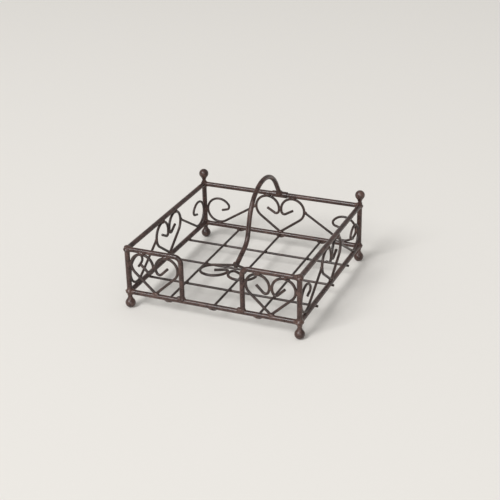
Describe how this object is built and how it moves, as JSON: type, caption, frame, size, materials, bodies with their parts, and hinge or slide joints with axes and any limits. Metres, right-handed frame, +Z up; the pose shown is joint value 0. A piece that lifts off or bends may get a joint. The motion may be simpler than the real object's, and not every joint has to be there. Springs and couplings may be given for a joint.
{
  "type": "napkin holder",
  "caption": "Square open wire tray on ball feet, with heart scrolls in its walls and a hinged arm whose lying heart holds a stack of paper napkins down.",
  "frame": {"origin": "on the table under the middle of the tray", "axes": "+X to the right, +Y to the hinge side at the rear, +Z up"},
  "size_m": [0.2008, 0.2008, 0.1062],
  "materials": {
    "brown_paint": "satin dark bronze-brown paint, a little uneven, over steel wire"
  },
  "bodies": {
    "frame": {"base_cross_front": "brown_paint", "base_cross_middle": "brown_paint", "base_cross_rear": "brown_paint", "base_runner_left": "brown_paint", "base_runner_middle": "brown_paint", "base_runner_right": "brown_paint", "front_bottom_rail": "brown_paint", "front_left_foot": "brown_paint", "front_left_heart_left": "brown_paint", "front_left_heart_right": "brown_paint", "front_left_hoop": "brown_paint", "front_left_post": "brown_paint", "front_right_foot": "brown_paint", "front_right_heart_left": "brown_paint", "front_right_heart_right": "brown_paint", "front_right_hoop": "brown_paint", "front_right_post": "brown_paint", "left_bottom_rail": "brown_paint", "left_heart_front": "brown_paint", "left_heart_rear": "brown_paint", "left_top_rail": "brown_paint", "left_wing_front": "brown_paint", "left_wing_rear": "brown_paint", "rear_bottom_rail": "brown_paint", "rear_heart_left": "brown_paint", "rear_heart_right": "brown_paint", "rear_left_finial": "brown_paint", "rear_left_foot": "brown_paint", "rear_left_post": "brown_paint", "rear_right_finial": "brown_paint", "rear_right_foot": "brown_paint", "rear_right_post": "brown_paint", "rear_top_rail": "brown_paint", "rear_wing_left": "brown_paint", "rear_wing_right": "brown_paint", "right_bottom_rail": "brown_paint", "right_heart_front": "brown_paint", "right_heart_rear": "brown_paint", "right_top_rail": "brown_paint", "right_wing_front": "brown_paint", "right_wing_rear": "brown_paint"},
    "arm": {"arm_rod": "brown_paint", "hinge_sleeve": "brown_paint", "weight_heart_left": "brown_paint", "weight_heart_right": "brown_paint"}
  },
  "joints": [
    {"name": "arm_hinge", "type": "hinge", "parent": "frame", "child": "arm", "pos_m": [0, 0.095, 0.0674], "axis": [-1, 0, 0], "range_deg": [-6.3, 195]}
  ]
}
